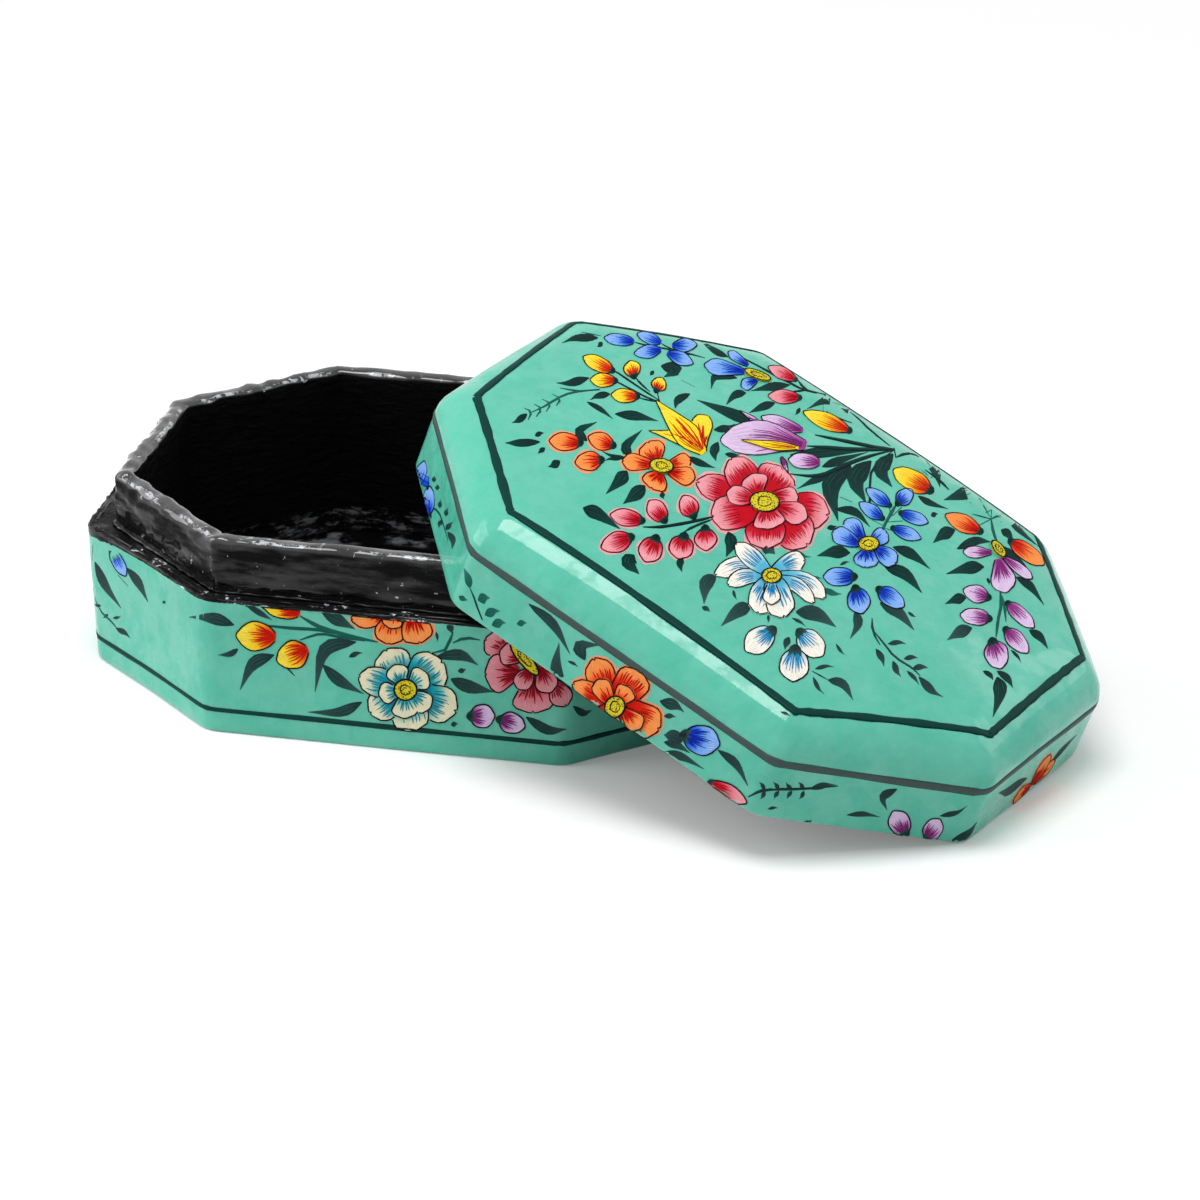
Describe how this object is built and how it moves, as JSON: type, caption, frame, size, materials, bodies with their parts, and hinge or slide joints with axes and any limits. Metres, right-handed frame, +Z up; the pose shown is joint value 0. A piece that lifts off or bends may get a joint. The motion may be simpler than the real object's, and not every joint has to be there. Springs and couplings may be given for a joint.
{
  "type": "papier mache box",
  "caption": "Octagonal hand-painted papier mache box: a lacquered tray with a black collar and a loose domed lid that leans open against it.",
  "frame": {"origin": "centre of the tray's flat underside, on the surface it stands on", "axes": "+Z up; +X along the tray's length, towards the end that the lid leans over; +Y towards the back long side"},
  "size_m": [0.2297, 0.1506, 0.0783],
  "materials": {
    "green_lacquer": "mint green paint with hand-painted flowers under clear gloss varnish, on papier mache",
    "black_lacquer": "brushed black gloss lacquer on rough papier mache"
  },
  "bodies": {
    "base": {"tray_shell": "green_lacquer", "collar_ring": "black_lacquer"},
    "lid": {"lid_shell": "green_lacquer"}
  },
  "joints": [
    {"name": "lid_lift", "type": "slide", "parent": "base", "child": "lid", "axis": [0, 0, 1], "range_m": [0, 0.1]}
  ]
}
